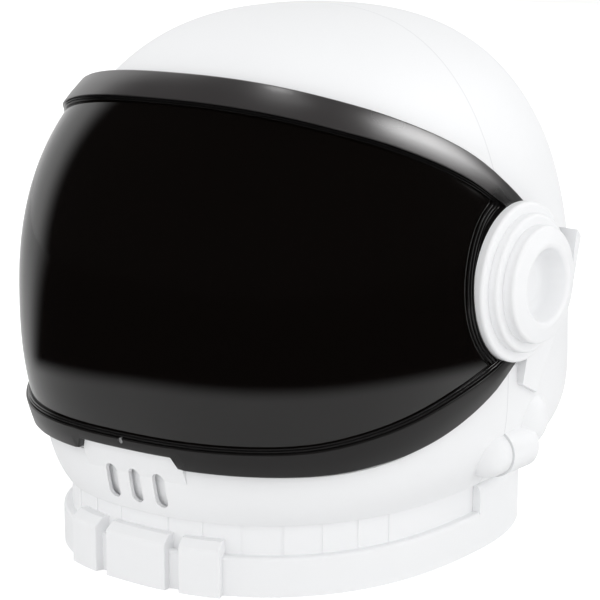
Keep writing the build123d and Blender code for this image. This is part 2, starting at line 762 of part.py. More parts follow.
# Rubber buttons on the chin of the shell
with BuildPart() as visor_stops:
    for side in (-1, 1):
        extrude(front_disc(chin_inner_y, side * stop_x, stop_z, stop_radius), amount=overrun + overrun)
    loft(lens_sections(lens_wall + stop_clearance), mode=Mode.INTERSECT)
    loft(shell_sections(0, 0), mode=Mode.SUBTRACT)
visor_stops.part.label = "visor_stops"
export_step(visor_stops.part, "parts/visor_stops.step")

# Ear knob: three stepped rings round a bowl, hollow below, with the post it turns on
knob_face = eye_face + knob_base_height + knob_middle_height + knob_top_height
post_end = ear_boss_face - bush_flange - side_clearance
with BuildPart() as ear_knob_left:
    with BuildSketch(Plane.XZ.offset(-pivot_y)) as knob_profile:
        middle_level = eye_face + knob_base_height
        top_level = middle_level + knob_middle_height
        lip_level = knob_face + bowl_lip_rise
        floor_level = lip_level - bowl_depth
        with BuildLine():
            Polyline(
                (post_end, pivot_z),
                (post_end, pivot_z + post_radius),
                (eye_face, pivot_z + post_radius),
                (eye_face, pivot_z + knob_hub_radius),
                (floor_level - knob_wall, pivot_z + knob_hub_radius),
                (floor_level - knob_wall, pivot_z + bowl_mouth_radius + knob_wall),
                (knob_face - knob_wall, pivot_z + bowl_mouth_radius + knob_wall),
                (knob_face - knob_wall, pivot_z + knob_top_radius - knob_wall),
                (top_level - knob_wall, pivot_z + knob_top_radius - knob_wall),
                (top_level - knob_wall, pivot_z + knob_middle_radius - knob_wall),
                (middle_level - knob_wall, pivot_z + knob_middle_radius - knob_wall),
                (middle_level - knob_wall, pivot_z + knob_radius - knob_wall),
                (eye_face, pivot_z + knob_radius - knob_wall),
                (eye_face, pivot_z + knob_radius),
                (middle_level, pivot_z + knob_radius),
                (middle_level, pivot_z + knob_middle_radius),
                (top_level, pivot_z + knob_middle_radius),
                (top_level, pivot_z + knob_top_radius),
                (knob_face, pivot_z + knob_top_radius),
                (lip_level, pivot_z + bowl_mouth_radius),
                (floor_level, pivot_z + bowl_floor_radius),
                (floor_level, pivot_z),
                close=True,
            )
        make_face()
        rounded_corners = (
            (Vector(middle_level, pivot_z + knob_radius), knob_edge_radius),
            (Vector(top_level, pivot_z + knob_middle_radius), knob_edge_radius),
            (Vector(knob_face, pivot_z + knob_top_radius), knob_edge_radius),
            (Vector(lip_level, pivot_z + bowl_mouth_radius), bowl_lip_radius),
            (Vector(floor_level, pivot_z + bowl_floor_radius), bowl_floor_edge_radius),
        )
        for place, radius in rounded_corners:
            fillet(knob_profile.vertices().sort_by_distance(place)[0], radius=radius)
    revolve(axis=Axis((0, pivot_y, pivot_z), (1, 0, 0)))
    screw_bore = pivot_disc(post_end, pivot_screw_radius + thread_clearance)
    extrude(screw_bore, amount=pivot_screw_depth, mode=Mode.SUBTRACT)
ear_knob_left.part.label = "ear_knob_left"
export_step(ear_knob_left.part, "parts/ear_knob_left.step")

with BuildPart() as ear_knob_right:
    add(ear_knob_left.part.mirror(Plane.YZ))
ear_knob_right.part.label = "ear_knob_right"
export_step(ear_knob_right.part, "parts/ear_knob_right.step")

# Flanged bush in each ear boss
with BuildPart() as pivot_bush_left:
    extrude(pivot_disc(ear_boss_face, bush_radius), amount=ear_pad_face - ear_boss_face)
    extrude(pivot_disc(ear_boss_face, bush_flange_radius), amount=-bush_flange)
    bush_bore = pivot_disc(ear_boss_face - bush_flange, post_radius + running_clearance)
    extrude(bush_bore, amount=ear_pad_face, mode=Mode.SUBTRACT)
pivot_bush_left.part.label = "pivot_bush_left"
export_step(pivot_bush_left.part, "parts/pivot_bush_left.step")

with BuildPart() as pivot_bush_right:
    add(pivot_bush_left.part.mirror(Plane.YZ))
pivot_bush_right.part.label = "pivot_bush_right"
export_step(pivot_bush_right.part, "parts/pivot_bush_right.step")

# Friction washer between each ear pad and the eye of the frame
with BuildPart() as friction_washer_left:
    extrude(pivot_disc(ear_pad_face, friction_washer_outer_radius), amount=friction_washer_thickness)
    washer_hole = pivot_disc(ear_pad_face, friction_washer_inner_radius)
    extrude(washer_hole, amount=friction_washer_thickness, mode=Mode.SUBTRACT)
friction_washer_left.part.label = "friction_washer_left"
export_step(friction_washer_left.part, "parts/friction_washer_left.step")

with BuildPart() as friction_washer_right:
    add(friction_washer_left.part.mirror(Plane.YZ))
friction_washer_right.part.label = "friction_washer_right"
export_step(friction_washer_right.part, "parts/friction_washer_right.step")

# Washer that keeps each post in its bush
with BuildPart() as retaining_washer_left:
    extrude(pivot_disc(post_end, retainer_radius), amount=-retainer_thickness)
    retainer_hole = pivot_disc(post_end, pivot_screw_radius + retainer_hole_clearance)
    extrude(retainer_hole, amount=-retainer_thickness, mode=Mode.SUBTRACT)
retaining_washer_left.part.label = "retaining_washer_left"
export_step(retaining_washer_left.part, "parts/retaining_washer_left.step")

with BuildPart() as retaining_washer_right:
    add(retaining_washer_left.part.mirror(Plane.YZ))
retaining_washer_right.part.label = "retaining_washer_right"
export_step(retaining_washer_right.part, "parts/retaining_washer_right.step")

# Screw in the end of each post
with BuildPart() as pivot_screw_left:
    screw_seat_x = post_end - retainer_thickness
    extrude(pivot_disc(screw_seat_x, pivot_screw_radius), amount=pivot_screw_depth)
    extrude(pivot_disc(screw_seat_x, pivot_screw_head_radius), amount=-pivot_screw_head)
pivot_screw_left.part.label = "pivot_screw_left"
export_step(pivot_screw_left.part, "parts/pivot_screw_left.step")

with BuildPart() as pivot_screw_right:
    add(pivot_screw_left.part.mirror(Plane.YZ))
pivot_screw_right.part.label = "pivot_screw_right"
export_step(pivot_screw_right.part, "parts/pivot_screw_right.step")

# Foam liner that the pads are cut from
with BuildPart() as liner:
    loft(shell_sections(shell_wall + pad_clearance, neck_flange))
    loft(shell_sections(shell_wall + pad_clearance + pad_thickness, neck_flange), mode=Mode.SUBTRACT)

with BuildPart() as crown_pad:
    add(liner.part)
    with BuildSketch(Plane.XY.offset(crown_pad_low_z)):
        with Locations((0, globe_centre_y)):
            RectangleRounded(2 * crown_pad_half_width, 2 * crown_pad_half_length, pad_corner_radius)
    extrude(amount=crown_z - crown_pad_low_z, mode=Mode.INTERSECT)
crown_pad.part.label = "crown_pad"
export_step(crown_pad.part, "parts/crown_pad.step")

with BuildPart() as rear_pad:
    add(liner.part)
    with BuildSketch(Plane.XZ.offset(-rear_pad_front_y)):
        with Locations((0, (rear_pad_low_z + rear_pad_high_z) / 2)):
            RectangleRounded(2 * rear_pad_half_width, rear_pad_high_z - rear_pad_low_z, pad_corner_radius)
    extrude(amount=-globe_half_length, mode=Mode.INTERSECT)
rear_pad.part.label = "rear_pad"
export_step(rear_pad.part, "parts/rear_pad.step")

with BuildPart() as side_pad_left:
    add(liner.part)
    with BuildSketch(Plane.YZ.offset(side_pad_inner_x)):
        with Locations(((side_pad_front_y + side_pad_rear_y) / 2, (side_pad_low_z + side_pad_high_z) / 2)):
            RectangleRounded(
                side_pad_rear_y - side_pad_front_y, side_pad_high_z - side_pad_low_z, pad_corner_radius
            )
    extrude(amount=globe_half_width, mode=Mode.INTERSECT)
side_pad_left.part.label = "side_pad_left"
export_step(side_pad_left.part, "parts/side_pad_left.step")

with BuildPart() as side_pad_right:
    add(side_pad_left.part.mirror(Plane.YZ))
side_pad_right.part.label = "side_pad_right"
export_step(side_pad_right.part, "parts/side_pad_right.step")
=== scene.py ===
from math import acos, cos, hypot, pi, radians, sin, sqrt

import bmesh
import bpy
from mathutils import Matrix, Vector


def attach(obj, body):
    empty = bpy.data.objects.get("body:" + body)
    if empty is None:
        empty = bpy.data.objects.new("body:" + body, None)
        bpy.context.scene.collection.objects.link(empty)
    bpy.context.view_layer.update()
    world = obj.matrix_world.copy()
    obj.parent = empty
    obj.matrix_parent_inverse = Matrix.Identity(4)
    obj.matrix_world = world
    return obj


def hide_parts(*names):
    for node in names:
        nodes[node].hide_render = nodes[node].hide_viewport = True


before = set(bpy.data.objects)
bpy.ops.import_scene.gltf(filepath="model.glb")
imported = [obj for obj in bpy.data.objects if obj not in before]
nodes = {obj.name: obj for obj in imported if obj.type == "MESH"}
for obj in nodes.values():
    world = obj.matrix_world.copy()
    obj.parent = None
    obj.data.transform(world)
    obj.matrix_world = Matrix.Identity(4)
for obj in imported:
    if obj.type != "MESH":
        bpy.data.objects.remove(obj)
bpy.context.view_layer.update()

# The camera stands ahead and to the wearer's left, a little above the helmet, as in the photograph.


def towards(azimuth, elevation):
    """The direction away from the helmet at an azimuth and an elevation in degrees."""
    azimuth, elevation = radians(azimuth), radians(elevation)
    return Vector((sin(azimuth) * cos(elevation), -cos(azimuth) * cos(elevation), sin(elevation)))


camera_aim = Vector((-0.02869, 0.03353, 0.12603))
camera_back = towards(37.054, 11.81)
camera_distance = 1.3458
focal_length_px = 2154.425
photo_width_px = 600
camera_data = bpy.data.cameras.new("photo_camera")
camera_data.sensor_width = 36
camera_data.sensor_fit = "HORIZONTAL"
camera_data.lens = focal_length_px / photo_width_px * camera_data.sensor_width
camera = bpy.data.objects.new("photo_camera", camera_data)
camera.location = camera_aim + camera_back * camera_distance
camera.rotation_euler = camera_back.to_track_quat("Z", "Y").to_euler()
bpy.context.scene.collection.objects.link(camera)
bpy.context.scene.camera = camera

# Shell halves: injection moulded white plastic, satin, with the faint waviness that a large thin
# moulding has. They meet on the seam that runs over the crown and through both ears, and six screws
# draw them together.


def add_node(tree, kind, inputs, **settings):
    """A new node with its settings. Its inputs are given as values or as outputs to link from."""
    node = tree.nodes.new("ShaderNode" + kind)
    for setting, value in settings.items():
        setattr(node, setting, value)
    for socket, value in inputs.items():
        if isinstance(value, bpy.types.NodeSocket):
            tree.links.new(value, node.inputs[socket])
        else:
            node.inputs[socket].default_value = value
    return node


def object_place(tree):
    return tree.nodes.new("ShaderNodeTexCoord").outputs["Object"]


def new_group(name, sockets):
    """A node group, with the outputs of its input node and the inputs of its output node."""
    group = bpy.data.node_groups.new(name, "ShaderNodeTree")
    for label, way, kind in sockets:
        group.interface.new_socket(label, in_out=way, socket_type="NodeSocket" + kind)
    given = group.nodes.new("NodeGroupInput").outputs
    result = group.nodes.new("NodeGroupOutput").inputs
    return group, given, result


def swing(tree, middle, spread, mask):
    """A value that swings by a spread to both sides of a middle as a mask goes from 0 to 1."""
    limits = {"Value": mask}
    for limit, shift in (("To Min", -spread), ("To Max", spread)):
        limits[limit] = add_node(tree, "Math", {0: middle, 1: shift}).outputs["Value"]
    return add_node(tree, "MapRange", limits).outputs["Result"]


def new_material(name, values):
    """A material with values set on its shader, with its tree and its shader."""
    material = bpy.data.materials.new(name)
    material.use_nodes = True
    shader = material.node_tree.nodes["Principled BSDF"]
    for socket, value in values.items():
        shader.inputs[socket].default_value = value
    return material, material.node_tree, shader


moulding_sockets = (
    ("Ripple", "INPUT", "Float"),
    ("Roughness", "INPUT", "Float"),
    ("Roughness", "OUTPUT", "Float"),
    ("Normal", "OUTPUT", "Vector"),
)
moulding, given, result = new_group("moulding", moulding_sockets)
place = object_place(moulding)
wave = add_node(moulding, "TexNoise", {"Vector": place, "Scale": 22, "Detail": 2}).outputs["Fac"]
grain = add_node(moulding, "TexNoise", {"Vector": place, "Scale": 900}).outputs["Fac"]
waviness = {"Strength": 0.12, "Distance": given["Ripple"], "Height": wave}
bump = add_node(moulding, "Bump", waviness).outputs["Normal"]
grain_bump = {"Strength": 0.08, "Distance": 0.0001, "Height": grain, "Normal": bump}
fine = add_node(moulding, "Bump", grain_bump).outputs["Normal"]
moulding.links.new(fine, result["Normal"])
moulding.links.new(swing(moulding, given["Roughness"], 0.05, wave), result["Roughness"])


def moulded_plastic(name, colour, roughness, ripple, index=1.42):
    material, tree, shader = new_material(name, {"Base Color": (*colour, 1), "IOR": index})
    skin = tree.nodes.new("ShaderNodeGroup")
    skin.node_tree = moulding
    skin.inputs["Ripple"].default_value = ripple
    skin.inputs["Roughness"].default_value = roughness
    for socket in ("Roughness", "Normal"):
        tree.links.new(skin.outputs[socket], shader.inputs[socket])
    return material


def finish_with(name, material):
    node = nodes[name]
    node.data.materials.clear()
    node.data.materials.append(material)


seam_y = 0.0074
seam_half_width = 0.00035
shell_colour = (0.86, 0.865, 0.875)
seam_colour = (0.72, 0.725, 0.74)
shell_white = moulded_plastic("shell_white", shell_colour, 0.5, 0.0004, 1.32)
shell_seamed = shell_white.copy()
shell_seamed.name = "shell_seamed"
tree = shell_seamed.node_tree
split = add_node(tree, "SeparateXYZ", {0: object_place(tree)})
on_seam = {0: split.outputs["Y"], 1: seam_y, 2: seam_half_width}
seam = add_node(tree, "Math", on_seam, operation="COMPARE").outputs["Value"]
colours = {"Factor": seam, "A": (*shell_colour, 1), "B": (*seam_colour, 1)}
tint = add_node(tree, "Mix", colours, data_type="RGBA").outputs["Result"]
tree.links.new(tint, tree.nodes["Principled BSDF"].inputs["Base Color"])
for name in ("front_shell", "rear_shell"):
    finish_with(name, shell_seamed)

# Jaw port ends: the rear wall of each jaw port below the ear, a round plate of the shell's own
# white plastic, moulded with the rear half just inside the end of the tube.
port_end_radius = 0.0107
port_end_thickness = 0.0024
port_end_x, port_end_y, port_end_z = 0.131, 0.0335, 0.0605
for side, side_name in ((1, "left"), (-1, "right")):
    bpy.ops.mesh.primitive_cylinder_add(
        vertices=64,
        radius=port_end_radius,
        depth=port_end_thickness,
        location=(side * port_end_x, port_end_y, port_end_z),
        rotation=(pi / 2, 0, 0),
    )
    port_end = bpy.context.object
    port_end.name = "port_end_" + side_name
    bpy.ops.object.transform_apply(location=True, rotation=True, scale=True)
    port_end.data.materials.append(shell_white)
    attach(port_end, "helmet")

# Collar halves: the same white plastic, moulded with the panelled tier and the three blocks at the
# front. Eight screws hold them to the shell from below.
for name in ("collar_front", "collar_rear"):
    finish_with(name, shell_white)

# Ear knobs: covers of the same white plastic with three steps and a bowl. Each is moulded with the
# post that turns in the bush, and swings with the visor.
for name in ("ear_knob_left", "ear_knob_right"):
    finish_with(name, shell_white)

# Vent baffle: a pale plastic tray behind the three slots in the chin, moulded by itself and set
# close against the inside of the front half.
# Its white is lighter than the shell's: the tray's own pale plastic, raised further by painted
# light that lifts the shade in the recess behind the slots.
finish_with("vent_baffle", moulded_plastic("vent_white_painted_light", (0.94, 0.945, 0.955), 0.5, 0.0002))

# Screws, washers and bushes: plated steel screws and retaining washers, natural nylon bushes, red
# fibre friction washers, a dark plated screw in the chin band and two black rubber stops.
clouding_sockets = (
    ("Colour", "INPUT", "Color"),
    ("Other", "INPUT", "Color"),
    ("Roughness", "INPUT", "Float"),
    ("Scale", "INPUT", "Float"),
    ("Colour", "OUTPUT", "Color"),
    ("Roughness", "OUTPUT", "Float"),
    ("Normal", "OUTPUT", "Vector"),
)
clouding, given, result = new_group("clouding", clouding_sockets)
clouds = {"Vector": object_place(clouding), "Scale": given["Scale"], "Detail": 4}
cloud = add_node(clouding, "TexNoise", clouds).outputs["Fac"]
colours = {"Factor": cloud, "A": given["Colour"], "B": given["Other"]}
blend = add_node(clouding, "Mix", colours, data_type="RGBA").outputs["Result"]
unevenness = {"Strength": 0.2, "Distance": 0.0001, "Height": cloud}
clouding.links.new(blend, result["Colour"])
clouding.links.new(swing(clouding, given["Roughness"], 0.08, cloud), result["Roughness"])
clouding.links.new(add_node(clouding, "Bump", unevenness).outputs["Normal"], result["Normal"])


def worked(name, colour, other, roughness, scale, metallic):
    material, tree, shader = new_material(name, {"Metallic": metallic})
    skin = tree.nodes.new("ShaderNodeGroup")
    skin.node_tree = clouding
    skin.inputs["Colour"].default_value = (*colour, 1)
    skin.inputs["Other"].default_value = (*other, 1)
    skin.inputs["Roughness"].default_value = roughness
    skin.inputs["Scale"].default_value = scale
    tree.links.new(skin.outputs["Colour"], shader.inputs["Base Color"])
    for socket in ("Roughness", "Normal"):
        tree.links.new(skin.outputs[socket], shader.inputs[socket])
    return material


plated = worked("plated_steel", (0.62, 0.62, 0.63), (0.5, 0.5, 0.52), 0.3, 700, 1)
nylon = worked("natural_nylon", (0.82, 0.81, 0.76), (0.76, 0.75, 0.7), 0.45, 500, 0)
fibre = worked("red_fibre", (0.3, 0.12, 0.08), (0.2, 0.07, 0.05), 0.75, 900, 0)
dark_steel = worked("dark_steel", (0.5, 0.5, 0.5), (0.35, 0.35, 0.36), 0.5, 800, 0.5)
rubber = worked("black_rubber", (0.03, 0.03, 0.032), (0.018, 0.018, 0.02), 0.7, 600, 0)
for side in ("left", "right"):
    finish_with("pivot_screw_" + side, plated)
    finish_with("retaining_washer_" + side, plated)
    finish_with("pivot_bush_" + side, nylon)
    finish_with("friction_washer_" + side, fibre)
finish_with("shell_screws", plated)
finish_with("collar_screws", plated)
finish_with("chin_screw", dark_steel)
finish_with("visor_stops", rubber)

# Pads: open-cell foam in a black knit cover, glued to the inside of the shell at the crown, the
# back and both sides. Each cover is drawn in a little, then filled out as cloth by the foam's push.
knit, tree, shader = new_material("black_knit", {"Roughness": 0.9, "Sheen Weight": 0.3})
place = object_place(tree)
ribs = add_node(tree, "TexWave", {"Vector": place, "Scale": 700, "Distortion": 1.5})
rows = {"Vector": place, "Scale": 550, "Distortion": 1.5}
courses = add_node(tree, "TexWave", rows, bands_direction="Z")
both_ways = {0: ribs.outputs["Fac"], 1: courses.outputs["Fac"]}
loops = add_node(tree, "Math", both_ways, operation="MULTIPLY").outputs["Value"]
colours = {"Factor": loops, "A": (0.02, 0.02, 0.022, 1), "B": (0.07, 0.07, 0.075, 1)}
tint = add_node(tree, "Mix", colours, data_type="RGBA").outputs["Result"]
stitches = add_node(tree, "Bump", {"Strength": 0.5, "Distance": 0.0004, "Height": loops})
tree.links.new(tint, shader.inputs["Base Color"])
tree.links.new(stitches.outputs["Normal"], shader.inputs["Normal"])

pad_mesh_size = 0.0045
pad_draw_in = 0.0032
pad_push = 4
pad_settle_frames = 20
pad_swell_cap = 0.0030
covers = []
for name in ("crown_pad", "rear_pad", "side_pad_left", "side_pad_right"):
    cover = bpy.data.objects.new(name + "_cover", nodes[name].data.copy())
    bpy.context.scene.collection.objects.link(cover)
    bpy.ops.object.select_all(action="DESELECT")
    cover.select_set(True)
    bpy.context.view_layer.objects.active = cover
    remesh = cover.modifiers.new("even", "REMESH")
    remesh.mode = "VOXEL"
    remesh.voxel_size = pad_mesh_size
    bpy.ops.object.modifier_apply(modifier="even")
    draw_in = cover.modifiers.new("draw_in", "DISPLACE")
    draw_in.mid_level = 0
    draw_in.strength = -pad_draw_in
    bpy.ops.object.modifier_apply(modifier="draw_in")
    cover.data.materials.clear()
    cover.data.materials.append(knit)
    covers.append(cover)
for cover in covers:
    fill = cover.modifiers.new("fill", "CLOTH")
    fill.settings.use_pressure = True
    fill.settings.uniform_pressure_force = pad_push
    fill.settings.effector_weights.gravity = 0
for count in range(1, pad_settle_frames + 1):
    bpy.context.scene.frame_set(count)
for cover in covers:
    swollen = cover.evaluated_get(bpy.context.evaluated_depsgraph_get()).to_mesh()
    moves = []
    for vertex, new in zip(cover.data.vertices, swollen.vertices):
        move = new.co - vertex.co
        if move.length > pad_swell_cap:
            move = move.normalized() * pad_swell_cap
        moves.append(move)
    cover.to_mesh_clear()
    cover.modifiers.remove(cover.modifiers["fill"])
    for vertex, move in zip(cover.data.vertices, moves):
        vertex.co += move
bpy.context.scene.frame_set(1)
for cover in covers:
    smooth = cover.modifiers.new("smooth", "SUBSURF")
    smooth.levels = 1
    smooth.render_levels = 1
    for face in cover.data.polygons:
        face.use_smooth = True
    pad = cover.name.removesuffix("_cover")
    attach(cover, "helmet")
    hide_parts(pad)

# Lens: a smoked plastic sheet blown to a full bulb, dark and glossy, that ends under the two bands
# of the frame and in an arc round each ear.
bulb_centre = Vector((0, -0.0040, 0.1455))
bulb_half = Vector((0.1454, 0.1675, 0.1682))
bulb_plan_fullness = 2.5
bulb_side_fullness = 2.33
pivot = Vector((0, 0.0074, 0.163))
sheet = 0.0022
search_steps = 40
search_front = -0.19


def signed_power(value, exponent):
    return abs(value) ** exponent if value >= 0 else -(abs(value) ** exponent)


def bulb_reach(z, stand):
    """The bulb's outline at a height, as a share of its outline at mid height."""
    share = min(abs(z - bulb_centre.z) / (bulb_half.z + stand), 1)
    return (1 - share**bulb_side_fullness) ** (1 / bulb_side_fullness)


def bulb_place(turn, z, stand):
    """A place on the bulb, or stood off from it, at a turn from straight ahead and a height."""
    reach = bulb_reach(z, stand)
    aside = signed_power(sin(turn), 2 / bulb_plan_fullness)
    ahead = signed_power(cos(turn), 2 / bulb_plan_fullness)
    x = (bulb_half.x + stand) * reach * aside
    y = bulb_centre.y - (bulb_half.y + stand) * reach * ahead
    return Vector((x, y, z))


def bulb_turn(y, z, stand):
    half_length = (bulb_half.y + stand) * bulb_reach(z, stand)
    ahead = signed_power((bulb_centre.y - y) / half_length, bulb_plan_fullness / 2)
    return acos(max(-1, min(1, ahead)))


def smooth_line(points):
    """A smooth line through points (reach, rise) from the pivot, straight on past its ends."""
    slopes = []
    for count in range(len(points)):
        before = points[max(count - 1, 0)]
        after = points[min(count + 1, len(points) - 1)]
        slopes.append((after[1] - before[1]) / (after[0] - before[0]))

    def height(y, x=0):
        reach = y - pivot.y
        if reach <= points[0][0]:
            return pivot.z + points[0][1] + slopes[0] * (reach - points[0][0])
        for (x0, z0), (x1, z1), m0, m1 in zip(points, points[1:], slopes, slopes[1:]):
            if reach <= x1:
                run = x1 - x0
                t = (reach - x0) / run
                rise = z0 * (2 * t**3 - 3 * t**2 + 1) + z1 * (3 * t**2 - 2 * t**3)
                bend = m0 * (t**3 - 2 * t**2 + t) + m1 * (t**3 - t**2)
                return pivot.z + rise + run * bend
        return pivot.z + points[-1][1] + slopes[-1] * (reach - points[-1][0])

    return height


brow_top_points = [
    (-0.1274, 0.1198), (-0.1034, 0.1094), (-0.0774, 0.0985), (-0.0404, 0.0810),
    (-0.0184, 0.0675), (0.0056, 0.0482), (0.0124, 0.0420),
]
brow_low_points = [
    (-0.1415, 0.1042), (-0.1143, 0.0928), (-0.0867, 0.0818), (-0.0500, 0.0652),
    (-0.0261, 0.0524), (-0.0060, 0.0385),
]
chin_low_points = [
    (-0.1800, -0.0905), (-0.1434, -0.0905), (-0.1274, -0.0899), (-0.1123, -0.0880),
    (-0.0887, -0.0838), (-0.0592, -0.0752), (-0.0241, -0.0598), (-0.0046, -0.0460),
]
chin_top_points = [
    (-0.1800, -0.0745), (-0.1509, -0.0736), (-0.1354, -0.0720), (-0.1165, -0.0682),
    (-0.0928, -0.0626), (-0.0639, -0.0542), (-0.0274, -0.0436), (-0.0060, -0.0365),
]
brow_top = smooth_line(brow_top_points)
brow_low = smooth_line(brow_low_points)
chin_low = smooth_line(chin_low_points)
chin_top = smooth_line(chin_top_points)


def crossing(beyond, low, high):
    """Where between low and high a test begins to hold."""
    for _ in range(search_steps):
        middle = (low + high) / 2
        if beyond(middle):
            high = middle
        else:
            low = middle
    return high


def rear_limit(z, eye_radius, inset):
    """How far back the bulb runs at a height, between the brow, the eye and the chin."""
    limit = pivot.y
    if abs(z - pivot.z) < eye_radius:
        limit = min(limit, pivot.y - sqrt(eye_radius**2 - (z - pivot.z) ** 2))
    for beyond in (lambda y: brow_top(y) - inset < z, lambda y: chin_low(y) + inset > z):
        if beyond(limit):
            limit = crossing(beyond, search_front, limit)
    return limit


def add_mesh(name, verts, faces, materials, body, slots=None):
    mesh = bpy.data.meshes.new(name)
    mesh.from_pydata([tuple(v) for v in verts], [], faces)
    for material in materials:
        mesh.materials.append(material)
    for face in mesh.polygons:
        face.use_smooth = True
        face.material_index = slots[face.index] if slots else 0
    piece = bpy.data.objects.new(name, mesh)
    bpy.context.scene.collection.objects.link(piece)
    shaper = bmesh.new()
    shaper.from_mesh(mesh)
    bmesh.ops.remove_doubles(shaper, verts=shaper.verts, dist=1e-7)
    bmesh.ops.recalc_face_normals(shaper, faces=shaper.faces)
    shaper.to_mesh(mesh)
    shaper.free()
    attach(piece, body)
    return piece


lens_rows = 150
lens_columns = 220
lens_low = 0.0752
lens_high = 0.2755
lens_inset = 0.00265
lens_eye_radius = 0.0504
notch_height = 0.007
notch_slant = 0.0035
lens_notch_half_width = 0.0392
lens_notch_blend = 0.03
lens_verts = []
lens_faces = []
for stand in (0, -sheet):
    for row in range(lens_rows + 1):
        z = lens_low + (lens_high - lens_low) * row / lens_rows
        limit = bulb_turn(rear_limit(z, lens_eye_radius, lens_inset), z, stand)
        for column in range(lens_columns + 1):
            turn = limit * (2 * column / lens_columns - 1)
            across = abs(bulb_place(turn, z, stand).x)
            lift = max(0, min(1, (lens_notch_half_width - across) / notch_slant))
            lift *= notch_height * max(0, 1 - (z - lens_low) / lens_notch_blend)
            lens_verts.append(bulb_place(turn, z + lift, stand))
row_length = lens_columns + 1
layer = (lens_rows + 1) * row_length
for row in range(lens_rows):
    for column in range(lens_columns):
        start = row * row_length + column
        lens_faces.append((start, start + 1, start + row_length + 1, start + row_length))
        start += layer
        lens_faces.append((start, start + row_length, start + row_length + 1, start + 1))
for row in range(lens_rows):
    for column in (0, lens_columns):
        start = row * row_length + column
        lens_faces.append((start, start + row_length, start + row_length + layer, start + layer))
for column in range(lens_columns):
    for row in (0, lens_rows):
        start = row * row_length + column
        lens_faces.append((start, start + 1, start + 1 + layer, start + layer))

smoke = {"Base Color": (0.0022, 0.0015, 0.0012, 1), "Roughness": 0.06, "IOR": 1.55, "Alpha": 0.93}
lens_smoke, tree, shader = new_material("lens_smoke", smoke)
flow = add_node(tree, "TexNoise", {"Vector": object_place(tree), "Scale": 9, "Detail": 1})
swell = {"Strength": 0.06, "Distance": 0.0004, "Height": flow.outputs["Fac"]}
tree.links.new(add_node(tree, "Bump", swell).outputs["Normal"], shader.inputs["Normal"])
lens = add_mesh("lens", lens_verts, lens_faces, [lens_smoke], "visor")
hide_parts("visor_lens")

# Frame: charcoal plastic moulded in one piece, a brow band and a chin band that meet in two eyes
# under the ear knobs. Its face stands proud of the lens, with two fine lips along the window.
edge_round = 0.0011
stand_face = 0.0034
seat_width = 0.0025
seat_stand = 0.00015


def band_profile(width):
    """Cross-section of a band, from its window edge to its outer edge: distance across, stand."""
    return [
        (0, seat_stand),
        (0, 0.0011),
        (0.00009, 0.00132),
        (0.0003, 0.00145),
        (0.00051, 0.00132),
        (0.0006, 0.0011),
        (0.0006, 0.0006),
        (0.0013, 0.0006),
        (0.0013, 0.0018),
        (0.00139, 0.00202),
        (0.0016, 0.00215),
        (0.00181, 0.00202),
        (0.0019, 0.0018),
        (0.0019, 0.0012),
        (0.0026, 0.0012),
        (0.0026, 0.0027),
        (0.00275, 0.0031),
        (0.0031, stand_face - 0.00005),
        (0.0036, stand_face),
        (width * 0.5, stand_face),
        (width - edge_round, stand_face),
        (width - 0.3 * edge_round, stand_face - 0.3 * edge_round),
        (width, stand_face - edge_round),
        (width, -sheet),
        (width - seat_width, -sheet),
        (width - seat_width, seat_stand),
    ]


lip_corners = range(15)
crest_corners = (1, 2, 3, 4, 8, 9, 10, 11)
brow_slot, lip_slot, chin_slot, crest_slot = range(4)
knob_cover_radius = 0.0450
knob_cover_behind = 0.012
end_turn_low, end_turn_high = 0.6, 1.9
notch_half_width = 0.033
notch_level = 0.076


def solve_edge(height, turn, stand):
    """The height at which a side view edge crosses the bulb at a turn."""
    z = height(bulb_centre.y - bulb_half.y * 0.8)
    for _ in range(60):
        spot = bulb_place(turn, z, stand)
        z = z * 0.5 + height(spot.y, spot.x) * 0.5
    return z


def end_turn(height, stand):
    """The turn at which a side view edge runs in under the ear knob."""

    def covered(turn):
        spot = bulb_place(turn, solve_edge(height, turn, stand), stand)
        near = hypot(spot.y - pivot.y, spot.z - pivot.z) <= knob_cover_radius
        return near or spot.y >= pivot.y + knob_cover_behind

    return crossing(covered, end_turn_low, end_turn_high)


def chin_outer(y, x=0):
    """The chin band's lower edge, with the step up over the chin's tab."""
    rise = max(0, min(1, (notch_half_width + notch_slant - abs(x)) / notch_slant))
    return chin_low(y) + notch_height * rise


def tube_faces(base, loop, rings):
    """The faces of a tube through rings of corners, closed at both ends."""
    faces = []
    for count in range(rings - 1):
        start = base + count * loop
        for corner in range(loop):
            after = (corner + 1) % loop
            quad = (start + corner, start + after, start + loop + after, start + loop + corner)
            faces.append(quad)
    last = base + (rings - 1) * loop
    faces.append(tuple(base + corner for corner in range(loop)))
    faces.append(tuple(last + corner for corner in reversed(range(loop))))
    return faces


def band_mesh(base, inner, outer, steps, face_slot):
    verts = []
    inner_end = end_turn(inner, stand_face)
    outer_end = end_turn(outer, stand_face)
    for step in steps:
        inner_turn = inner_end * step
        outer_turn = outer_end * step
        inner_spot = bulb_place(inner_turn, solve_edge(inner, inner_turn, stand_face), stand_face)
        outer_spot = bulb_place(outer_turn, solve_edge(outer, outer_turn, stand_face), stand_face)
        width = (outer_spot - inner_spot).length
        for across, stand in band_profile(width):
            share = across / width
            turn = inner_turn + (outer_turn - inner_turn) * share
            low = solve_edge(inner, turn, stand)
            high = solve_edge(outer, turn, stand)
            verts.append(bulb_place(turn, low + (high - low) * share, stand))
    loop = len(band_profile(1))
    corner_slots = []
    for corner in range(loop):
        crest = face_slot == chin_slot and corner in crest_corners
        lip = crest_slot if crest else lip_slot
        corner_slots.append(lip if corner in lip_corners else face_slot)
    slots = corner_slots * (len(steps) - 1) + [face_slot, face_slot]
    return verts, tube_faces(base, loop, len(steps)), slots


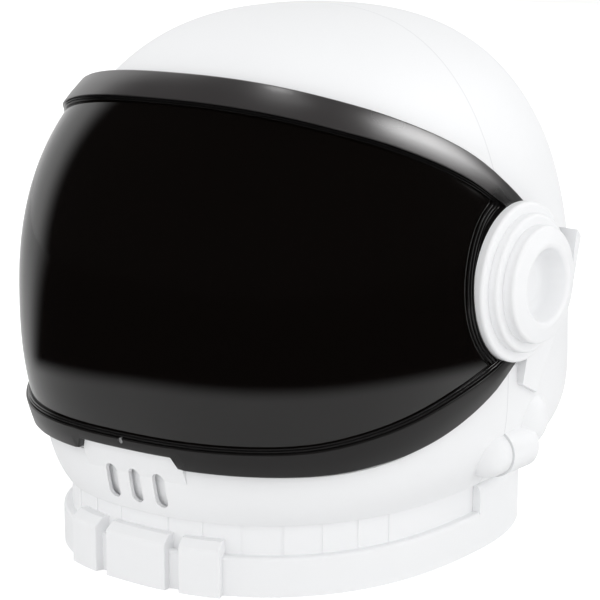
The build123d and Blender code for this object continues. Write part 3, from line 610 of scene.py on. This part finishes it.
band_count = 120
band_steps = [-1 + 2 * count / band_count for count in range(band_count + 1)]
chin_end = end_turn(chin_outer, stand_face)
chin_steps = list(band_steps)
for across in (notch_half_width, notch_half_width + notch_slant):
    notch_turn = 0.1
    for _ in range(50):
        spot = bulb_place(notch_turn, notch_level, stand_face)
        notch_turn *= (across / spot.x) ** 1.2
    chin_steps += [-notch_turn / chin_end, notch_turn / chin_end]
chin_steps.sort()


def smooth_step(tree, value, low, high, at_low=0.0, at_high=1.0):
    """What goes smoothly from one value to another as a value goes from low to high."""
    limits = {"From Min": low, "From Max": high, "To Min": at_low, "To Max": at_high}
    limits["Value"] = value
    return add_node(tree, "MapRange", limits, interpolation_type="SMOOTHSTEP").outputs["Result"]


# Within 53.5 mm of the pivot axis the frame's charcoal is near black, fading back by 62 mm: painted
# shade next to the ear knobs.
painted_shade_full_reach, painted_shade_end_reach = 0.0535, 0.062
painted_shade_black = (0.006, 0.0055, 0.0055)
brow_colour = (0.036, 0.033, 0.0332)
chin_painted_shade_colour = (0.009, 0.0083, 0.0083)
frame_charcoal = moulded_plastic("frame_charcoal", brow_colour, 0.29, 0.0002, 2.05)
tree = frame_charcoal.node_tree
side_view = {0: object_place(tree), 1: (0, 1, 1), 2: (0, -pivot.y, -pivot.z)}
from_axis = add_node(tree, "VectorMath", side_view, operation="MULTIPLY_ADD").outputs["Vector"]
axis_distance = add_node(tree, "VectorMath", {0: from_axis}, operation="LENGTH").outputs["Value"]
clear_of_painted_shade = smooth_step(tree, axis_distance, painted_shade_full_reach, painted_shade_end_reach)
colours = {"Factor": clear_of_painted_shade, "A": (*painted_shade_black, 1), "B": (*brow_colour, 1)}
tint = add_node(tree, "Mix", colours, data_type="RGBA")
tree.links.new(tint.outputs["Result"], tree.nodes["Principled BSDF"].inputs["Base Color"])
# The chin band takes a copy of the same charcoal, four times darker and less shiny: painted shade
# that offsets the light the chin band gets from the table.
frame_chin_shaded = frame_charcoal.copy()
frame_chin_shaded.name = "frame_charcoal_chin_painted_shade"
frame_chin_shaded.node_tree.nodes["Principled BSDF"].inputs["IOR"].default_value = 1.4
frame_chin_shaded.node_tree.nodes[tint.name].inputs["B"].default_value = (*chin_painted_shade_colour, 1)
frame_edge = moulded_plastic("frame_edge", (0.008, 0.0075, 0.0075), 0.14, 0.0001)
frame_bead = moulded_plastic("frame_bead", (0.02, 0.019, 0.019), 0.2, 0.0001, 2.6)

verts, faces, slots = band_mesh(0, brow_low, brow_top, band_steps, brow_slot)
chin_verts, chin_faces, chin_slots = band_mesh(
    len(verts), chin_top, chin_outer, chin_steps, chin_slot
)
verts += chin_verts
faces += chin_faces
slots += chin_slots

ring_profile = [
    (0.0504, -sheet), (0.0504, 0.0004), (0.0502, 0.0007), (0.0497, 0.0007), (0.0495, 0.0004),
    (0.0495, 0.0001), (0.0488, 0.0001), (0.0488, 0.0010), (0.0486, 0.0013), (0.0480, 0.0013),
    (0.0478, 0.0010), (0.0478, 0.0004), (0.0470, 0.0004), (0.0470, 0.0012), (0.0468, 0.0015),
    (0.0464, 0.0015), (0.0462, 0.0012), (0.0462, -sheet),
]
ring_count = 72
ring_start = 100
ring_sweep = 165
disc_count = 96
disc_faces = (0.1399, 0.1445)
disc_radii = (0.0061, 0.0454)


def bulb_x(y, z, stand):
    reach = bulb_reach(z, stand)
    ahead = abs(bulb_centre.y - y) / ((bulb_half.y + stand) * reach)
    across = (1 - ahead**bulb_plan_fullness) ** (1 / bulb_plan_fullness)
    return (bulb_half.x + stand) * reach * across


for side in (-1, 1):
    faces += tube_faces(len(verts), len(ring_profile), ring_count + 1)
    for count in range(ring_count + 1):
        angle = radians(ring_start) + radians(ring_sweep) * count / ring_count
        for radius, stand in ring_profile:
            y = pivot.y + radius * cos(angle)
            z = pivot.z + radius * sin(angle)
            verts.append(Vector((side * bulb_x(y, z, stand), y, z)))
    base = len(verts)
    for x in disc_faces:
        for radius in disc_radii:
            for count in range(disc_count):
                angle = 2 * pi * count / disc_count
                y = pivot.y + radius * cos(angle)
                z = pivot.z + radius * sin(angle)
                verts.append(Vector((side * x, y, z)))
    low_in, low_out, high_in, high_out = (base + disc_count * group for group in range(4))
    for count in range(disc_count):
        after = (count + 1) % disc_count
        faces.append((low_in + count, low_in + after, low_out + after, low_out + count))
        faces.append((high_in + count, high_out + count, high_out + after, high_in + after))
        faces.append((low_out + count, low_out + after, high_out + after, high_out + count))
        faces.append((low_in + after, low_in + count, high_in + count, high_in + after))
slots += [lip_slot] * (len(faces) - len(slots))
frame_materials = [frame_charcoal, frame_edge, frame_chin_shaded, frame_bead]
visor_bands = add_mesh("visor_bands", verts, faces, frame_materials, "visor", slots)
bpy.ops.object.select_all(action="DESELECT")
bpy.context.view_layer.objects.active = visor_bands
visor_bands.select_set(True)
bpy.ops.object.shade_smooth_by_angle(angle=radians(38))

chin_screw_drop = 0.0785
chin_screw_hole_y = -0.163
chin_screw_hole_radius = 0.0018
chin_screw_hole_depth = 0.02
bpy.ops.mesh.primitive_cylinder_add(
    vertices=32,
    radius=chin_screw_hole_radius,
    depth=chin_screw_hole_depth,
    location=(0, chin_screw_hole_y, pivot.z - chin_screw_drop),
    rotation=(pi / 2, 0, 0),
)
drill = bpy.context.object
hole = visor_bands.modifiers.new("screw_hole", "BOOLEAN")
hole.operation = "DIFFERENCE"
hole.solver = "EXACT"
hole.object = drill
bpy.context.view_layer.objects.active = visor_bands
bpy.ops.object.modifier_apply(modifier="screw_hole")
bpy.data.objects.remove(drill)
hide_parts("visor_frame")

# Table: a plain white table top. What the visor mirrors of it fades to dark between 0.4 and 0.5 m
# from the helmet's middle, less so towards the backdrop. The camera sees it lifted, so that it
# runs into the white.
bpy.ops.mesh.primitive_plane_add(size=8, location=(0, 0, 0))
table = bpy.context.object
table.name = "table"
backdrop_side = (-0.75, 0.66, 0)
camera_lift = 0.42


def along(tree, direction, axis):
    """How far a direction goes along an axis."""
    both = {0: direction, 1: axis}
    return add_node(tree, "VectorMath", both, operation="DOT_PRODUCT").outputs["Value"]


def product(tree, first, second):
    return add_node(tree, "Math", {0: first, 1: second}, operation="MULTIPLY").outputs["Value"]


table_values = {"Base Color": (0.85, 0.85, 0.85, 1), "Roughness": 0.6}
table_finish, tree, shader = new_material("table_white", table_values)
place = object_place(tree)
ways = tree.nodes.new("ShaderNodeLightPath").outputs
reach = add_node(tree, "VectorMath", {0: place}, operation="LENGTH").outputs["Value"]
heading = add_node(tree, "VectorMath", {0: place}, operation="NORMALIZE").outputs["Vector"]
far = smooth_step(tree, reach, 0.40, 0.50)
away = smooth_step(tree, along(tree, heading, backdrop_side), 0.45, 0.75, 1.0, 0.1)
darkened = product(tree, ways["Is Glossy Ray"], product(tree, away, far))
dark = add_node(tree, "Emission", {"Color": (0.01, 0.01, 0.01, 1)})
surfaces = {"Fac": darkened, 1: shader.outputs[0], 2: dark.outputs[0]}
with_dark = add_node(tree, "MixShader", surfaces)
lift_strength = product(tree, ways["Is Camera Ray"], camera_lift)
lift = add_node(tree, "Emission", {"Strength": lift_strength})
lifted = add_node(tree, "AddShader", {0: with_dark.outputs[0], 1: lift.outputs[0]})
tree.links.new(lifted.outputs[0], tree.nodes["Material Output"].inputs["Surface"])
table.data.materials.append(table_finish)

# Surroundings: white to the camera, light from all round that weakens towards the top, and for
# mirrors a dark room with a white backdrop, a patch overhead and a soft panel high up behind the
# wearer's left.
panel_middle = (0.6, 0.61, 0.517)
panel_edge = (-0.726, 0.437, 0.53)
world = bpy.data.worlds.new("studio")
bpy.context.scene.world = world
world.use_nodes = True
tree = world.node_tree
tree.nodes.clear()
ways = tree.nodes.new("ShaderNodeLightPath").outputs
direction = tree.nodes.new("ShaderNodeTexCoord").outputs["Generated"]
upward = add_node(tree, "SeparateXYZ", {0: direction}).outputs["Z"]
lit_share = add_node(tree, "MapRange", {"Value": upward, "To Min": 1.43, "To Max": 0.76})
lit_values = {"Color": (1, 1, 1, 1), "Strength": lit_share.outputs["Result"]}
lit = add_node(tree, "Background", lit_values)
seen = add_node(tree, "Background", {"Color": (1, 1, 1, 1), "Strength": 1.0})
backdrop = smooth_step(tree, along(tree, direction, backdrop_side), 0.52, 0.78, 0.02, 1.1)
overhead = smooth_step(tree, upward, 0.97, 0.998)
brighter = add_node(tree, "Math", {0: backdrop, 1: overhead}, operation="MAXIMUM").outputs["Value"]
panel_glow = smooth_step(tree, along(tree, direction, panel_middle), 0.9, 1.0, 0.0, 8)
panel_cut = smooth_step(tree, along(tree, direction, panel_edge), 0.0, 0.06)
with_panel = {0: panel_glow, 1: panel_cut, 2: brighter}
panel = add_node(tree, "Math", with_panel, operation="MULTIPLY_ADD").outputs["Value"]
mirrored = add_node(tree, "Background", {"Strength": panel})
for_light = {"Fac": ways["Is Glossy Ray"], 1: lit.outputs[0], 2: mirrored.outputs[0]}
mix_mirrored = add_node(tree, "MixShader", for_light)
for_camera = {"Fac": ways["Is Camera Ray"], 1: mix_mirrored.outputs[0], 2: seen.outputs[0]}
mix_seen = add_node(tree, "MixShader", for_camera)
add_node(tree, "OutputWorld", {"Surface": mix_seen.outputs[0]})

# Lamps: a small one overhead, and two broad weak ones ahead and at the wearer's left that nothing
# mirrors.
lamp_aim = Vector((0, 0, 0.16))


def soft_lamp(name, back, distance, size, power, mirrored=True):
    data = bpy.data.lights.new(name, "AREA")
    data.shape = "DISK"
    data.size = size
    data.energy = power
    lamp = bpy.data.objects.new(name, data)
    lamp.location = lamp_aim + back * distance
    lamp.rotation_euler = back.to_track_quat("Z", "Y").to_euler()
    lamp.visible_glossy = mirrored
    bpy.context.scene.collection.objects.link(lamp)


soft_lamp("top_lamp", towards(217, 80), distance=1.6, size=0.16, power=0.9)
soft_lamp("front_lamp", towards(12, 6), distance=2.5, size=1.0, power=4, mirrored=False)
soft_lamp("side_lamp", towards(108, 8), distance=2.5, size=1.0, power=6, mirrored=False)

bpy.context.scene.view_settings.view_transform = "Standard"
